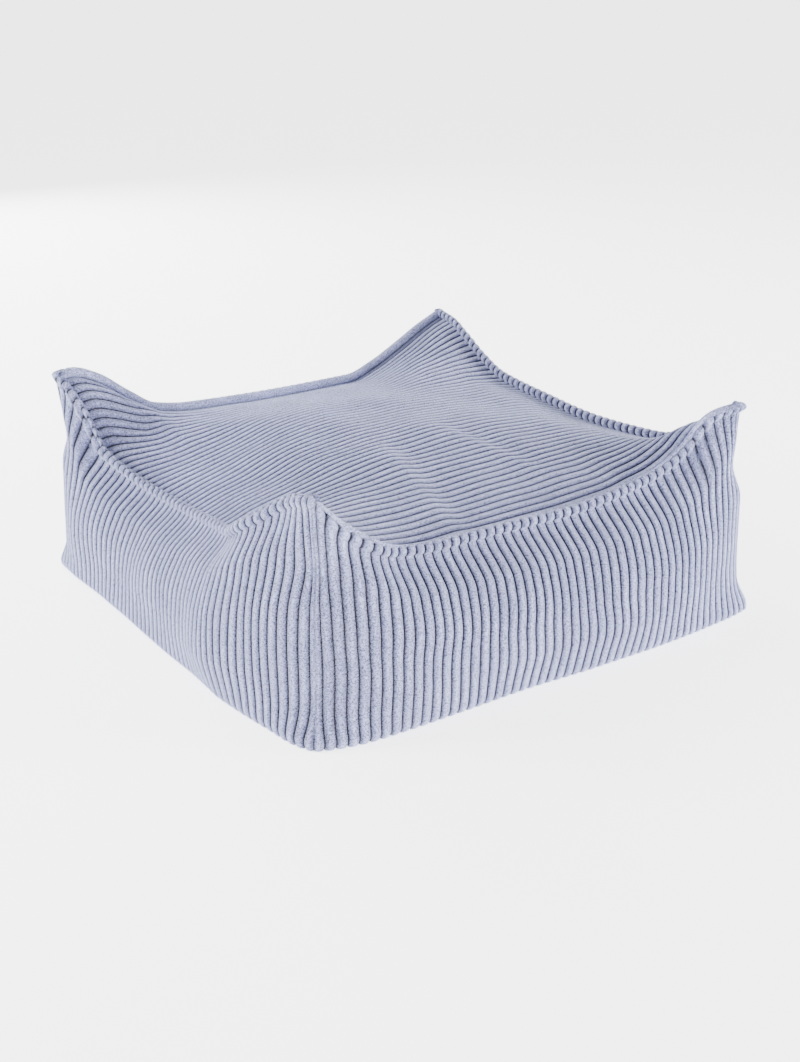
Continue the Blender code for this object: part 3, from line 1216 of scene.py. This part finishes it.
        across = np.broadcast_to((u * PEAK_OUT)[:, None], length.shape)
        placed = self.shape.turned(points)
        # Painted light: the sides are painted lighter towards the right.
        painted_light = lerp(*SIDE_PAINTED_LIGHT, smooth_step(placed[..., 0], *SIDE_PAINTED_LIGHT_SPAN))
        return ClothGrid(placed, wale, painted_light, np.stack([across, length], axis=-1))

    def under(self, foot: Points) -> Points:
        """Rows that carry the cloth on under the pouf to the base seam.

        Args:
            foot: Lowest row of the wall.

        Returns:
            Points of (columns, rows, 3), the innermost row first.
        """
        inward = -foot * np.array([1.0, 1.0, 0.0])
        inward = inward / np.linalg.norm(inward, axis=-1, keepdims=True)
        rows = [foot + inward * self.tuck * share for share in self.under_rows]
        return np.stack(rows, axis=1)

    def build(self, material: bpy.types.Material) -> bpy.types.Object:
        """Make the panel and put it on the frame.

        Args:
            material: Its corduroy.

        Returns:
            The panel.
        """
        side = self.shape.name
        piece = self.grid().build(f"cloth_side_{side.name.lower()}", material)
        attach(piece, "root")
        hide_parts(side.node)
        return piece


@dataclass
class TopPanel:
    """The top panel of corduroy, its edges turned up into the lip.

    Attributes:
        shape: Shape of the top.
        wales: Its ribs, which run from left to right.
        columns: Columns of points between the left and right stitch lines.
        folds: Shallow steps across the ribs.
        fold_edge: Width of a step's steep edge, in metres.
        fold_fade: How soon the cloth recovers past it, in metres.
        fold_start: Distances past a step's first point over which it comes in.
        fold_end: The same, counted back from its last point.
        crowding: Share by which the columns crowd towards the lip.
        lip_spans: Share of half the width, and of half the depth, over which the
            ribs grow as low as the lip's.
    """

    shape: TopShape = field(default_factory=TopShape)
    wales: Wales = field(default_factory=Wales)
    columns: int = 150
    folds: tuple[FoldRow, ...] = (
        FoldRow(-0.042, -0.060, -0.082, -0.255, 0.0062),
        FoldRow(0.049, -0.040, 0.082, -0.185, 0.0062),
    )
    fold_edge: float = 0.018
    fold_fade: float = 0.032
    fold_start: tuple[float, float] = (-0.02, 0.03)
    fold_end: tuple[float, float] = (-0.01, 0.03)
    crowding: float = 0.12
    lip_spans: tuple[tuple[float, float], tuple[float, float]] = ((0.975, 1.0), (0.985, 1.0))

    def backward_places(self, p: Points) -> Points:
        """Places of the ribs from front to back, evenly spaced on the cloth.

        Args:
            p: Places from left to right.

        Returns:
            Places of (p, ribs' columns).
        """
        fine = np.linspace(-1, 1, FINE_PLACES)
        lines = self.shape.surface(p[None, :], fine[:, None])
        return even_places(fine, lines, (self.wales.places() + 1) / 2).T

    def folded(self, points: Points) -> Points:
        """Points with the shallow steps pressed in.

        Args:
            points: Smooth points of the top.

        Returns:
            The same points, lowered past each step's line.
        """
        lowered = points.copy()
        for fold in self.folds:
            start = np.array([fold.start_x, fold.start_y])
            run = np.array([fold.end_x, fold.end_y]) - start
            length = np.linalg.norm(run)
            run = run / length
            offset = points[..., :2] - start
            along = offset @ run
            across = offset[..., 0] * -run[1] + offset[..., 1] * run[0]
            first, last = (distance - length for distance in self.fold_end)
            window = smooth_step(along, *self.fold_start) * smooth_step(-along, first, last)
            step = smooth_step(across, -self.fold_edge, self.fold_edge)
            fade = np.exp(-np.maximum(across, 0) / self.fold_fade)
            lowered[..., 2] -= fold.depth * window * step * fade
        return lowered

    def grid(self) -> ClothGrid:
        """Whole cloth with its ribs and its turned-up edges.

        Returns:
            The cloth in its place.
        """
        lips = len(LIP_SECTION) - 1
        across = crowded(np.linspace(-1, 1, self.columns), self.crowding)
        crown = self.wales.crowns()
        p = np.concatenate([np.full(lips, -1.0), across, np.full(lips, 1.0)])
        edge = np.ones((len(p), lips))
        deep = np.concatenate([-edge, self.backward_places(p), edge], axis=1)
        wide = np.broadcast_to(p[:, None], deep.shape)
        q = deep[0]
        away = np.arange(1, lips + 1)
        lip_p = np.concatenate([away[::-1], 0 * across, away]).astype(int)
        lip_q = np.concatenate([away[::-1], 0 * crown, away]).astype(int)
        middle = np.concatenate([np.zeros(lips), self.wales.across(), np.zeros(lips)])
        crown = np.concatenate([np.ones(lips), crown, np.ones(lips)])
        base = self.folded(self.shape.surface(wide, deep))
        x, y = base[..., 0], base[..., 1]
        free = (1 - np.abs(wide) ** TOP_STILL_POWER) * (1 - np.abs(deep) ** TOP_STILL_POWER)
        base[..., 2] += free * Unevenness(*TOP_WAVES_UP).at(x, y)
        base[..., 1] += free * Unevenness(*TOP_WAVES_ALONG).at(x, y)
        inside = (lip_p[:, None] == 0) & (lip_q[None, :] == 0)
        groove = np.broadcast_to((1 - crown)[None, :], wide.shape)
        flat = base[lips:-lips, lips:-lips]
        wide_span, deep_span = self.lip_spans
        near_edge = np.maximum(smooth_step(np.abs(wide), *wide_span), smooth_step(np.abs(deep), *deep_span))
        depth = lerp(self.wales.depth, LIP_SECTION[0].notch_in, near_edge)
        normal = np.zeros_like(base)
        normal[lips:-lips, lips:-lips] = grid_normals(flat)
        points = base - normal * (groove * depth * inside)[..., None]
        points = points + self.lip_offsets(p, q, deep, lip_p, lip_q, groove)
        wale = np.broadcast_to(middle[None, :], wide.shape)
        cloth = np.stack([deep * PEAK_OUT, wide * PEAK_OUT], axis=-1)
        # Painted light: the top is painted lighter towards the back and left, but not on its ears.
        light_share = TOP_PAINTED_LIGHT_BACK * points[..., 1] - TOP_PAINTED_LIGHT_LEFT * points[..., 0]
        light_share = smooth_step(light_share, *TOP_PAINTED_LIGHT_SPAN)
        painted_light = light_share * (1 - smooth_step(np.hypot(wide, deep), *TOP_PAINTED_LIGHT_EAR_SPAN))
        return ClothGrid(points, wale, painted_light, cloth)

    def lip_offsets(
        self, p: Points, q: Points, deep: Points, lip_p: Points, lip_q: Points, groove: Points
    ) -> Points:
        """Moves that turn the edges of the cloth up into the lip.

        Args:
            p: Places of the columns.
            q: Places of the rows at the left edge.
            deep: Place of each point from front to back.
            lip_p: Row of the lip's section that each column stands for, 0 inside.
            lip_q: The same for each row.
            groove: How deep in a groove each point is, 0 to 1.

        Returns:
            A move for each point.
        """
        below, reach, notch_down, notch_in = np.array(LIP_SECTION).T
        out = reach[0] - reach
        lap = np.zeros(len(LIP_SECTION))
        lap[-2:] = EAR_LAPS
        on_side = (lip_q[None, :] == 0) & (lip_p[:, None] > 0)
        ends = 1 - smooth_step(np.abs(deep), *NOTCH_SPAN)
        cut = np.where(on_side, groove * ends, 0.0)
        moves = np.zeros((len(p), len(q), 3))
        lapped_p = lap[lip_p][:, None] * smooth_step(np.abs(deep), *EAR_LAP_SPAN)
        lapped_q = lap[lip_q][None, :] * smooth_step(np.abs(p), *EAR_LAP_SPAN)[:, None]
        out_p = out[lip_p][:, None] + notch_in[lip_p][:, None] * cut + lapped_p
        out_q = out[lip_q][None, :] + lapped_q
        moves[..., 0] = np.sign(p)[:, None] * np.where(lip_p[:, None] > 0, out_p, 0.0)
        moves[..., 1] = np.sign(q)[None, :] * np.where(lip_q[None, :] > 0, out_q, 0.0)
        higher = np.minimum(below[lip_p][:, None], below[lip_q][None, :])
        inner = np.maximum(lip_p[:, None], lip_q[None, :])
        higher = np.where(inner >= len(LIP_SECTION) - 2, below[inner], higher)
        rise = LIP_HEIGHT - higher - notch_down[lip_p][:, None] * cut
        rise = np.where(inner > 0, rise, 0.0)
        along_p = np.where(p[:, None] < 0, -LEFT.lean(-deep), RIGHT.lean(deep))
        along_q = np.where(q[None, :] < 0, FRONT.lean(p)[:, None], -BACK.lean(-p)[:, None])
        lean_y = np.where(lip_p[:, None] > 0, along_p, 0.0)
        lean_x = np.where(lip_q[None, :] > 0, along_q, 0.0)
        moves[..., 0] -= rise * np.sin(lean_x)
        moves[..., 1] -= rise * np.sin(lean_y)
        moves[..., 2] = rise * np.cos(lean_x) * np.cos(lean_y)
        return moves

    def build(self, material: bpy.types.Material) -> bpy.types.Object:
        """Make the panel and put it on the frame.

        Args:
            material: Its corduroy.

        Returns:
            The panel.
        """
        piece = self.grid().build("cloth_top", material)
        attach(piece, "root")
        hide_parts("top_panel")
        return piece


@dataclass
class CushionBody:
    """The filled body under the panels, with the base cloth on its underside.

    Attributes:
        top: Shape of the top that it fills.
        cells: Cells along each edge of the cube it is shaped from.
        side_clearance: How far it stays behind the side panels' ribs.
        upper_clearance: How much further in it stays where the sides draw in.
        top_clearance: How far it stays under the top panel's ribs.
        base_inset: How far its flat base stays in from the foot of the sides.
        base_span: Share of the height over which that inset ends.
        draw_span: Share of the height over which its sides draw in further.
        wall_share: Share of the crest's height that its walls follow.
        crowding: Share by which its cells crowd towards its edges.
        rim_drop: How much lower its rim lies.
        rim_span: Share of half its width over which the rim lowers.
        searches: Steps of the search for the top above each point.
    """

    top: TopShape = field(default_factory=TopShape)
    cells: int = 40
    side_clearance: float = 0.0075
    upper_clearance: float = 0.0085
    top_clearance: float = 0.0085
    base_inset: float = 0.0160
    base_span: tuple[float, float] = (0.0, 0.10)
    draw_span: tuple[float, float] = (0.35, 0.75)
    wall_share: float = 0.86
    crowding: float = 0.2
    rim_drop: float = 0.010
    rim_span: tuple[float, float] = (0.8, 1.0)
    searches: int = 12

    def rim_distance(self, side: SideShape, u: Points, w: Points) -> Points:
        """Distance of the body's wall from the centre line.

        Args:
            side: Shape of the side.
            u: Places along it.
            w: Share of the height.

        Returns:
            Distances in metres.
        """
        distance = -side.surface(u, w)[..., 1]
        inset = lerp(self.base_inset, self.side_clearance, smooth_step(w, *self.base_span))
        return distance - inset - self.upper_clearance * smooth_step(w, *self.draw_span)

    def shaped(self, cube: Points) -> Points:
        """Points of a cube from -1 to 1, moved to the body's surface.

        Args:
            cube: Points on the cube's faces.

        Returns:
            Points of the body.
        """
        p, q = (crowded(cube[:, i], self.crowding) for i in (0, 1))
        w = (cube[:, 2] + 1) / 2 * self.wall_share
        left, right = self.rim_distance(LEFT, -q, w), self.rim_distance(RIGHT, q, w)
        front, back = self.rim_distance(FRONT, p, w), self.rim_distance(BACK, -p, w)
        x = p * lerp(left, right, (1 + p) / 2)
        y = q * lerp(front, back, (1 + q) / 2)
        under_p, under_q = x / PEAK_OUT, y / PEAK_OUT
        for _ in range(self.searches):
            over = self.top.surface(under_p, under_q)
            under_p = np.clip(under_p + (x - over[:, 0]) / PEAK_OUT, -1, 1)
            under_q = np.clip(under_q + (y - over[:, 1]) / PEAK_OUT, -1, 1)
        ceiling = self.top.height(under_p, under_q) - self.top_clearance
        edge = np.maximum(np.abs(p), np.abs(q))
        ceiling = ceiling - self.rim_drop * smooth_step(edge, *self.rim_span)
        z = ceiling * (cube[:, 2] + 1) / 2
        return np.stack([x, y, z], axis=-1)

    def build(self, material: bpy.types.Material) -> bpy.types.Object:
        """Make the body and put it on the frame.

        Args:
            material: The base cloth.

        Returns:
            The body.
        """
        form = bmesh.new()
        bmesh.ops.create_cube(form, size=2.0)
        bmesh.ops.subdivide_edges(form, edges=form.edges[:], cuts=self.cells - 1, use_grid_fill=True)
        cube = np.array([vert.co[:] for vert in form.verts])
        for vert, point in zip(form.verts, self.shaped(cube)):
            vert.co = point
        mesh = bpy.data.meshes.new("cushion_body")
        form.to_mesh(mesh)
        form.free()
        mesh.shade_smooth()
        mesh.materials.append(material)
        piece = added("cushion_body", mesh)
        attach(piece, "root")
        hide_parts("filled_body")
        return piece


@dataclass(frozen=True)
class SoftLight:
    """One square studio light.

    Attributes:
        name: Its name.
        place: Where it hangs.
        size: Length of its side.
        power: Its power in watts.
    """

    name: str
    place: tuple[float, float, float]
    size: float
    power: float

    def build(self) -> None:
        """Hang the light, facing the pouf."""
        data = bpy.data.lights.new(self.name, "AREA")
        data.shape = "SQUARE"
        data.size = self.size
        data.energy = self.power
        lamp = added(self.name, data)
        lamp.location = self.place
        towards = Vector(LIGHT_AIM) - Vector(self.place)
        lamp.rotation_euler = towards.to_track_quat("-Z", "Y").to_euler()


@dataclass
class Studio:
    """Pale floor, soft lights and the camera.

    Attributes:
        azimuth: Camera's direction, in degrees from the front towards the right.
        elevation: Its height over the horizon, in degrees.
        distance: Its distance from the point that it looks at.
        target: That point.
        focal_px: Focal length in pixels of the photograph's frame.
        frame_height: Height of that frame in pixels.
        sensor: Sensor's long side, in millimetres.
        daylight: Strength of the even light all round.
        floor_size: Length of the floor's side.
        floor_height: Its height, just under the pouf.
        lights: The soft lights.
    """

    azimuth: float = -35.329
    elevation: float = 20.626
    distance: float = 1.855
    target: tuple[float, float, float] = (0.012, -0.046, 0.12)
    focal_px: float = 1550.168
    frame_height: float = 1062.0
    sensor: float = 36.0
    daylight: float = 0.85
    floor_size: float = 90.0
    floor_height: float = -0.0004
    lights: tuple[SoftLight, ...] = (
        SoftLight("key_light", (-2.2, 1.3, 1.4), 1.6, 165.0),
        SoftLight("back_light", (0.0, 2.9, 1.3), 2.0, 170.0),
        SoftLight("fill_light", (2.5, -2.2, 0.55), 1.6, 340.0),
    )

    def camera(self) -> None:
        """Set the camera at the photograph's angle."""
        turn, rise = math.radians(self.azimuth), math.radians(self.elevation)
        back = Vector((math.sin(turn) * math.cos(rise), -math.cos(turn) * math.cos(rise), math.sin(rise)))
        right = Vector((math.cos(turn), math.sin(turn), 0.0))
        up = back.cross(right)
        data = bpy.data.cameras.new("camera")
        data.sensor_width = self.sensor
        data.lens = self.focal_px / self.frame_height * self.sensor
        camera = added("camera", data)
        shift_right, shift_up, height = self.target
        place = Vector((0.0, 0.0, height)) + right * shift_right + up * shift_up + back * self.distance
        camera.matrix_world = Matrix.Translation(place) @ Matrix((right, up, back)).transposed().to_4x4()
        bpy.context.scene.camera = camera

    def floor(self) -> None:
        """Lay the floor."""
        bpy.ops.mesh.primitive_plane_add(size=self.floor_size, location=(0.0, 0.0, self.floor_height))
        floor = bpy.context.object
        floor.name = "studio_floor"
        floor.data.materials.append(FloorFinish().material())

    def build(self) -> None:
        """Make the whole studio."""
        world = bpy.data.worlds.new("studio_air")
        world.use_nodes = True
        air = world.node_tree.nodes["Background"]
        air.inputs["Color"].default_value = (1.0, 1.0, 1.0, 1.0)
        air.inputs["Strength"].default_value = self.daylight
        bpy.context.scene.world = world
        self.floor()
        for light in self.lights:
            light.build()
        self.camera()


def main() -> None:
    """Dress the pouf and set up its studio."""
    logging.basicConfig(level=logging.INFO, format="%(message)s")
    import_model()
    Studio().build()
    corduroy = CorduroyFinish().material()
    builders: list[tuple[Callable[[bpy.types.Material], bpy.types.Object], bpy.types.Material]] = [
        (CushionBody().build, BaseClothFinish().material()),
        (TopPanel().build, corduroy),
    ]
    builders += [(SidePanel(side).build, corduroy) for side in SIDES]
    for build, material in builders:
        piece = build(material)
        log.info("%s: %d faces", piece.name, len(piece.data.polygons))


if __name__ == "__main__":
    main()
